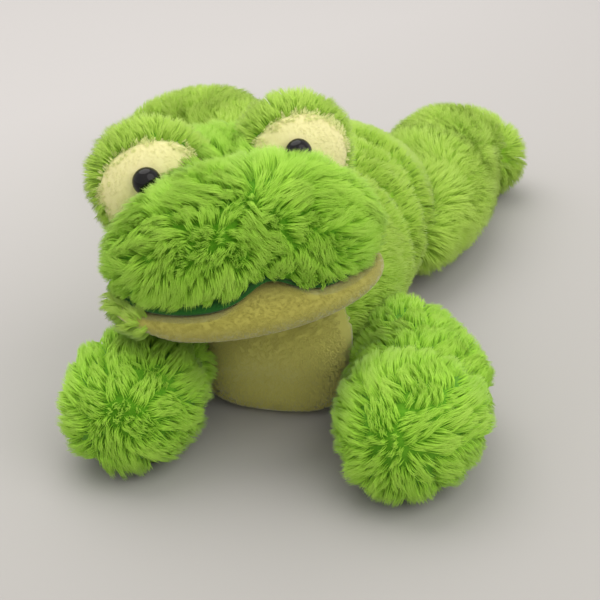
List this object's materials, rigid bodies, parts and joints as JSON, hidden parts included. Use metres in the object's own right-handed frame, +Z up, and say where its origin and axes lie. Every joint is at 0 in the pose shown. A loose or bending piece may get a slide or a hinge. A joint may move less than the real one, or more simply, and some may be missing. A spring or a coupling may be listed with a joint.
{
  "type": "plush frog",
  "caption": "Stuffed plush frog that lies on its belly, with a turned head, raised bead eyes and floppy legs sewn on at the shoulders and hips.",
  "frame": {"origin": "on the floor under the middle of the body, on the flat of the belly", "axes": "+Z up; the frog faces -Y, so +Y runs from head to rear legs; +X is the frog's own left"},
  "size_m": [0.2525, 0.3755, 0.1335],
  "materials": {
    "plush": "lime-green long-pile plush, 10 mm pile in loose tufts",
    "velour": "pale yellow-cream short-pile cloth",
    "lining": "dark green matt cloth",
    "bead": "glossy black dome",
    "washer": "natural white plastic",
    "stuffing": "white polyester fibre fill"
  },
  "bodies": {
    "torso": {"back_panel": "plush", "belly_panel": "velour", "body_stuffing": "stuffing"},
    "head": {"head_skin": "plush", "head_stuffing": "stuffing", "mouth_lining": "lining", "jaw_skin": "velour", "jaw_stuffing": "stuffing", "eye_lobe_left": "plush", "eye_patch_left": "velour", "eye_stuffing_left": "stuffing", "eye_bead_left": "bead", "eye_washer_left": "washer", "eye_lobe_right": "plush", "eye_patch_right": "velour", "eye_stuffing_right": "stuffing", "eye_bead_right": "bead", "eye_washer_right": "washer"},
    "front_leg_left": {"front_leg_left_skin": "plush", "front_leg_left_stuffing": "stuffing"},
    "front_leg_right": {"front_leg_right_skin": "plush", "front_leg_right_stuffing": "stuffing"},
    "rear_leg_left": {"rear_leg_left_skin": "plush", "rear_leg_left_stuffing": "stuffing"},
    "rear_leg_right": {"rear_leg_right_skin": "plush", "rear_leg_right_stuffing": "stuffing"}
  },
  "joints": [
    {"name": "neck", "type": "hinge", "parent": "torso", "child": "head", "pos_m": [-0.01, -0.062, 0.084], "axis": [0, 0, 1], "range_deg": [-20, 10]},
    {"name": "shoulder_left", "type": "hinge", "parent": "torso", "child": "front_leg_left", "pos_m": [0.04, -0.042, 0.032], "axis": [0, 0, 1], "range_deg": [-6, 16]},
    {"name": "shoulder_right", "type": "hinge", "parent": "torso", "child": "front_leg_right", "pos_m": [-0.04, -0.042, 0.032], "axis": [0, 0, 1], "range_deg": [-16, 6]},
    {"name": "hip_left", "type": "hinge", "parent": "torso", "child": "rear_leg_left", "pos_m": [0.048, 0.018, 0.032], "axis": [0, 0, 1], "range_deg": [-14, 6]},
    {"name": "hip_right", "type": "hinge", "parent": "torso", "child": "rear_leg_right", "pos_m": [-0.048, 0.018, 0.032], "axis": [0, 0, 1], "range_deg": [-6, 14]}
  ]
}
